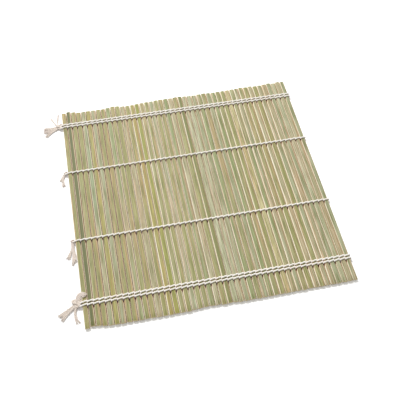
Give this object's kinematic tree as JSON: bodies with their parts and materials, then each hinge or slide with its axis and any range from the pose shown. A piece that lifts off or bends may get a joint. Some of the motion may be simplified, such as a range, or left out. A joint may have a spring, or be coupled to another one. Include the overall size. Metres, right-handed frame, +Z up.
{
  "type": "sushi rolling mat",
  "caption": "Bamboo sushi rolling mat: flat split slats twined side by side with cotton cords, knotted with frayed tails at one edge; rolls up.",
  "frame": {"origin": "on the surface that the mat lies on, under the middle of the middle slat", "axes": "+X along the cords, away from the knotted edge; +Y along the slats, away from the user; +Z up, out of the mat's upper side"},
  "size_m": [0.257, 0.2426, 0.0038],
  "materials": {
    "bamboo": "split bamboo with its green skin left on, dry and silky",
    "cotton": "unbleached plied cotton string"
  },
  "bodies": {
    "slat_01_with_cords": {"slat_01": "bamboo", "cord_far_outer": "cotton", "cord_far_inner": "cotton", "cord_mid_far": "cotton", "cord_mid_near": "cotton", "cord_near_outer": "cotton", "cord_near_inner": "cotton", "knot_far": "cotton", "knot_mid_far": "cotton", "knot_mid_near": "cotton", "knot_near": "cotton"},
    "slat_02": {"slat_02": "bamboo"},
    "slat_03": {"slat_03": "bamboo"},
    "slat_04": {"slat_04": "bamboo"},
    "slat_05": {"slat_05": "bamboo"},
    "slat_06": {"slat_06": "bamboo"},
    "slat_07": {"slat_07": "bamboo"},
    "slat_08": {"slat_08": "bamboo"},
    "slat_09": {"slat_09": "bamboo"},
    "slat_10": {"slat_10": "bamboo"},
    "slat_11": {"slat_11": "bamboo"},
    "slat_12": {"slat_12": "bamboo"},
    "slat_13": {"slat_13": "bamboo"},
    "slat_14": {"slat_14": "bamboo"},
    "slat_15": {"slat_15": "bamboo"},
    "slat_16": {"slat_16": "bamboo"},
    "slat_17": {"slat_17": "bamboo"},
    "slat_18": {"slat_18": "bamboo"},
    "slat_19": {"slat_19": "bamboo"},
    "slat_20": {"slat_20": "bamboo"},
    "slat_21": {"slat_21": "bamboo"},
    "slat_22": {"slat_22": "bamboo"},
    "slat_23": {"slat_23": "bamboo"},
    "slat_24": {"slat_24": "bamboo"},
    "slat_25": {"slat_25": "bamboo"},
    "slat_26": {"slat_26": "bamboo"},
    "slat_27": {"slat_27": "bamboo"},
    "slat_28": {"slat_28": "bamboo"},
    "slat_29": {"slat_29": "bamboo"},
    "slat_30": {"slat_30": "bamboo"},
    "slat_31": {"slat_31": "bamboo"},
    "slat_32": {"slat_32": "bamboo"},
    "slat_33": {"slat_33": "bamboo"},
    "slat_34": {"slat_34": "bamboo"},
    "slat_35": {"slat_35": "bamboo"},
    "slat_36": {"slat_36": "bamboo"},
    "slat_37": {"slat_37": "bamboo"},
    "slat_38": {"slat_38": "bamboo"},
    "slat_39": {"slat_39": "bamboo"},
    "slat_40": {"slat_40": "bamboo"},
    "slat_41": {"slat_41": "bamboo"},
    "slat_42": {"slat_42": "bamboo"},
    "slat_43": {"slat_43": "bamboo"},
    "slat_44": {"slat_44": "bamboo"},
    "slat_45": {"slat_45": "bamboo"},
    "slat_46": {"slat_46": "bamboo"},
    "slat_47": {"slat_47": "bamboo"}
  },
  "joints": [
    {"name": "roll_01", "type": "hinge", "parent": "slat_01_with_cords", "child": "slat_02", "pos_m": [-0.1134, 0, 0.00182], "axis": [0, -1, 0], "range_deg": [0, 13.77], "deforming": ["cord_far_outer", "cord_far_inner", "cord_mid_far", "cord_mid_near", "cord_near_outer", "cord_near_inner"]},
    {"name": "roll_02", "type": "hinge", "parent": "slat_02", "child": "slat_03", "pos_m": [-0.10836, 0, 0.00182], "axis": [0, -1, 0], "range_deg": [0, 13.89]},
    {"name": "roll_03", "type": "hinge", "parent": "slat_03", "child": "slat_04", "pos_m": [-0.10332, 0, 0.00182], "axis": [0, -1, 0], "range_deg": [0, 14.02]},
    {"name": "roll_04", "type": "hinge", "parent": "slat_04", "child": "slat_05", "pos_m": [-0.09828, 0, 0.00182], "axis": [0, -1, 0], "range_deg": [0, 14.15]},
    {"name": "roll_05", "type": "hinge", "parent": "slat_05", "child": "slat_06", "pos_m": [-0.09324, 0, 0.00182], "axis": [0, -1, 0], "range_deg": [0, 14.28]},
    {"name": "roll_06", "type": "hinge", "parent": "slat_06", "child": "slat_07", "pos_m": [-0.0882, 0, 0.00182], "axis": [0, -1, 0], "range_deg": [0, 14.42]},
    {"name": "roll_07", "type": "hinge", "parent": "slat_07", "child": "slat_08", "pos_m": [-0.08316, 0, 0.00182], "axis": [0, -1, 0], "range_deg": [0, 14.56]},
    {"name": "roll_08", "type": "hinge", "parent": "slat_08", "child": "slat_09", "pos_m": [-0.07812, 0, 0.00182], "axis": [0, -1, 0], "range_deg": [0, 14.71]},
    {"name": "roll_09", "type": "hinge", "parent": "slat_09", "child": "slat_10", "pos_m": [-0.07308, 0, 0.00182], "axis": [0, -1, 0], "range_deg": [0, 14.86]},
    {"name": "roll_10", "type": "hinge", "parent": "slat_10", "child": "slat_11", "pos_m": [-0.06804, 0, 0.00182], "axis": [0, -1, 0], "range_deg": [0, 15.02]},
    {"name": "roll_11", "type": "hinge", "parent": "slat_11", "child": "slat_12", "pos_m": [-0.063, 0, 0.00182], "axis": [0, -1, 0], "range_deg": [0, 15.18]},
    {"name": "roll_12", "type": "hinge", "parent": "slat_12", "child": "slat_13", "pos_m": [-0.05796, 0, 0.00182], "axis": [0, -1, 0], "range_deg": [0, 15.34]},
    {"name": "roll_13", "type": "hinge", "parent": "slat_13", "child": "slat_14", "pos_m": [-0.05292, 0, 0.00182], "axis": [0, -1, 0], "range_deg": [0, 15.52]},
    {"name": "roll_14", "type": "hinge", "parent": "slat_14", "child": "slat_15", "pos_m": [-0.04788, 0, 0.00182], "axis": [0, -1, 0], "range_deg": [0, 15.69]},
    {"name": "roll_15", "type": "hinge", "parent": "slat_15", "child": "slat_16", "pos_m": [-0.04284, 0, 0.00182], "axis": [0, -1, 0], "range_deg": [0, 15.88]},
    {"name": "roll_16", "type": "hinge", "parent": "slat_16", "child": "slat_17", "pos_m": [-0.0378, 0, 0.00182], "axis": [0, -1, 0], "range_deg": [0, 16.06]},
    {"name": "roll_17", "type": "hinge", "parent": "slat_17", "child": "slat_18", "pos_m": [-0.03276, 0, 0.00182], "axis": [0, -1, 0], "range_deg": [0, 16.26]},
    {"name": "roll_18", "type": "hinge", "parent": "slat_18", "child": "slat_19", "pos_m": [-0.02772, 0, 0.00182], "axis": [0, -1, 0], "range_deg": [0, 16.47]},
    {"name": "roll_19", "type": "hinge", "parent": "slat_19", "child": "slat_20", "pos_m": [-0.02268, 0, 0.00182], "axis": [0, -1, 0], "range_deg": [0, 16.68]},
    {"name": "roll_20", "type": "hinge", "parent": "slat_20", "child": "slat_21", "pos_m": [-0.01764, 0, 0.00182], "axis": [0, -1, 0], "range_deg": [0, 16.9]},
    {"name": "roll_21", "type": "hinge", "parent": "slat_21", "child": "slat_22", "pos_m": [-0.0126, 0, 0.00182], "axis": [0, -1, 0], "range_deg": [0, 17.13]},
    {"name": "roll_22", "type": "hinge", "parent": "slat_22", "child": "slat_23", "pos_m": [-0.00756, 0, 0.00182], "axis": [0, -1, 0], "range_deg": [0, 17.37]},
    {"name": "roll_23", "type": "hinge", "parent": "slat_23", "child": "slat_24", "pos_m": [-0.00252, 0, 0.00182], "axis": [0, -1, 0], "range_deg": [0, 17.62]},
    {"name": "roll_24", "type": "hinge", "parent": "slat_24", "child": "slat_25", "pos_m": [0.00252, 0, 0.00182], "axis": [0, -1, 0], "range_deg": [0, 17.88]},
    {"name": "roll_25", "type": "hinge", "parent": "slat_25", "child": "slat_26", "pos_m": [0.00756, 0, 0.00182], "axis": [0, -1, 0], "range_deg": [0, 18.15]},
    {"name": "roll_26", "type": "hinge", "parent": "slat_26", "child": "slat_27", "pos_m": [0.0126, 0, 0.00182], "axis": [0, -1, 0], "range_deg": [0, 18.44]},
    {"name": "roll_27", "type": "hinge", "parent": "slat_27", "child": "slat_28", "pos_m": [0.01764, 0, 0.00182], "axis": [0, -1, 0], "range_deg": [0, 18.74]},
    {"name": "roll_28", "type": "hinge", "parent": "slat_28", "child": "slat_29", "pos_m": [0.02268, 0, 0.00182], "axis": [0, -1, 0], "range_deg": [0, 19.05]},
    {"name": "roll_29", "type": "hinge", "parent": "slat_29", "child": "slat_30", "pos_m": [0.02772, 0, 0.00182], "axis": [0, -1, 0], "range_deg": [0, 19.38]},
    {"name": "roll_30", "type": "hinge", "parent": "slat_30", "child": "slat_31", "pos_m": [0.03276, 0, 0.00182], "axis": [0, -1, 0], "range_deg": [0, 19.73]},
    {"name": "roll_31", "type": "hinge", "parent": "slat_31", "child": "slat_32", "pos_m": [0.0378, 0, 0.00182], "axis": [0, -1, 0], "range_deg": [0, 20.1]},
    {"name": "roll_32", "type": "hinge", "parent": "slat_32", "child": "slat_33", "pos_m": [0.04284, 0, 0.00182], "axis": [0, -1, 0], "range_deg": [0, 20.49]},
    {"name": "roll_33", "type": "hinge", "parent": "slat_33", "child": "slat_34", "pos_m": [0.04788, 0, 0.00182], "axis": [0, -1, 0], "range_deg": [0, 20.9]},
    {"name": "roll_34", "type": "hinge", "parent": "slat_34", "child": "slat_35", "pos_m": [0.05292, 0, 0.00182], "axis": [0, -1, 0], "range_deg": [0, 21.34]},
    {"name": "roll_35", "type": "hinge", "parent": "slat_35", "child": "slat_36", "pos_m": [0.05796, 0, 0.00182], "axis": [0, -1, 0], "range_deg": [0, 21.81]},
    {"name": "roll_36", "type": "hinge", "parent": "slat_36", "child": "slat_37", "pos_m": [0.063, 0, 0.00182], "axis": [0, -1, 0], "range_deg": [0, 22.31]},
    {"name": "roll_37", "type": "hinge", "parent": "slat_37", "child": "slat_38", "pos_m": [0.06804, 0, 0.00182], "axis": [0, -1, 0], "range_deg": [0, 22.85]},
    {"name": "roll_38", "type": "hinge", "parent": "slat_38", "child": "slat_39", "pos_m": [0.07308, 0, 0.00182], "axis": [0, -1, 0], "range_deg": [0, 23.43]},
    {"name": "roll_39", "type": "hinge", "parent": "slat_39", "child": "slat_40", "pos_m": [0.07812, 0, 0.00182], "axis": [0, -1, 0], "range_deg": [0, 24.06]},
    {"name": "roll_40", "type": "hinge", "parent": "slat_40", "child": "slat_41", "pos_m": [0.08316, 0, 0.00182], "axis": [0, -1, 0], "range_deg": [0, 24.73]},
    {"name": "roll_41", "type": "hinge", "parent": "slat_41", "child": "slat_42", "pos_m": [0.0882, 0, 0.00182], "axis": [0, -1, 0], "range_deg": [0, 25.47]},
    {"name": "roll_42", "type": "hinge", "parent": "slat_42", "child": "slat_43", "pos_m": [0.09324, 0, 0.00182], "axis": [0, -1, 0], "range_deg": [0, 26.28]},
    {"name": "roll_43", "type": "hinge", "parent": "slat_43", "child": "slat_44", "pos_m": [0.09828, 0, 0.00182], "axis": [0, -1, 0], "range_deg": [0, 27.17]},
    {"name": "roll_44", "type": "hinge", "parent": "slat_44", "child": "slat_45", "pos_m": [0.10332, 0, 0.00182], "axis": [0, -1, 0], "range_deg": [0, 28.15]},
    {"name": "roll_45", "type": "hinge", "parent": "slat_45", "child": "slat_46", "pos_m": [0.10836, 0, 0.00182], "axis": [0, -1, 0], "range_deg": [0, 29.26]},
    {"name": "roll_46", "type": "hinge", "parent": "slat_46", "child": "slat_47", "pos_m": [0.1134, 0, 0.00182], "axis": [0, -1, 0], "range_deg": [0, 30.5]}
  ],
  "couplings": [
    {"joint": "roll_01", "follows": "roll_46", "ratio": 0.4514},
    {"joint": "roll_02", "follows": "roll_46", "ratio": 0.4555},
    {"joint": "roll_03", "follows": "roll_46", "ratio": 0.4597},
    {"joint": "roll_04", "follows": "roll_46", "ratio": 0.4639},
    {"joint": "roll_05", "follows": "roll_46", "ratio": 0.4683},
    {"joint": "roll_06", "follows": "roll_46", "ratio": 0.4728},
    {"joint": "roll_07", "follows": "roll_46", "ratio": 0.4775},
    {"joint": "roll_08", "follows": "roll_46", "ratio": 0.4823},
    {"joint": "roll_09", "follows": "roll_46", "ratio": 0.4872},
    {"joint": "roll_10", "follows": "roll_46", "ratio": 0.4923},
    {"joint": "roll_11", "follows": "roll_46", "ratio": 0.4976},
    {"joint": "roll_12", "follows": "roll_46", "ratio": 0.503},
    {"joint": "roll_13", "follows": "roll_46", "ratio": 0.5087},
    {"joint": "roll_14", "follows": "roll_46", "ratio": 0.5145},
    {"joint": "roll_15", "follows": "roll_46", "ratio": 0.5205},
    {"joint": "roll_16", "follows": "roll_46", "ratio": 0.5267},
    {"joint": "roll_17", "follows": "roll_46", "ratio": 0.5332},
    {"joint": "roll_18", "follows": "roll_46", "ratio": 0.5399},
    {"joint": "roll_19", "follows": "roll_46", "ratio": 0.5468},
    {"joint": "roll_20", "follows": "roll_46", "ratio": 0.5541},
    {"joint": "roll_21", "follows": "roll_46", "ratio": 0.5616},
    {"joint": "roll_22", "follows": "roll_46", "ratio": 0.5695},
    {"joint": "roll_23", "follows": "roll_46", "ratio": 0.5777},
    {"joint": "roll_24", "follows": "roll_46", "ratio": 0.5862},
    {"joint": "roll_25", "follows": "roll_46", "ratio": 0.5952},
    {"joint": "roll_26", "follows": "roll_46", "ratio": 0.6045},
    {"joint": "roll_27", "follows": "roll_46", "ratio": 0.6144},
    {"joint": "roll_28", "follows": "roll_46", "ratio": 0.6247},
    {"joint": "roll_29", "follows": "roll_46", "ratio": 0.6355},
    {"joint": "roll_30", "follows": "roll_46", "ratio": 0.647},
    {"joint": "roll_31", "follows": "roll_46", "ratio": 0.6591},
    {"joint": "roll_32", "follows": "roll_46", "ratio": 0.6719},
    {"joint": "roll_33", "follows": "roll_46", "ratio": 0.6854},
    {"joint": "roll_34", "follows": "roll_46", "ratio": 0.6998},
    {"joint": "roll_35", "follows": "roll_46", "ratio": 0.7152},
    {"joint": "roll_36", "follows": "roll_46", "ratio": 0.7316},
    {"joint": "roll_37", "follows": "roll_46", "ratio": 0.7493},
    {"joint": "roll_38", "follows": "roll_46", "ratio": 0.7682},
    {"joint": "roll_39", "follows": "roll_46", "ratio": 0.7887},
    {"joint": "roll_40", "follows": "roll_46", "ratio": 0.8109},
    {"joint": "roll_41", "follows": "roll_46", "ratio": 0.8351},
    {"joint": "roll_42", "follows": "roll_46", "ratio": 0.8615},
    {"joint": "roll_43", "follows": "roll_46", "ratio": 0.8907},
    {"joint": "roll_44", "follows": "roll_46", "ratio": 0.9231},
    {"joint": "roll_45", "follows": "roll_46", "ratio": 0.9592}
  ]
}
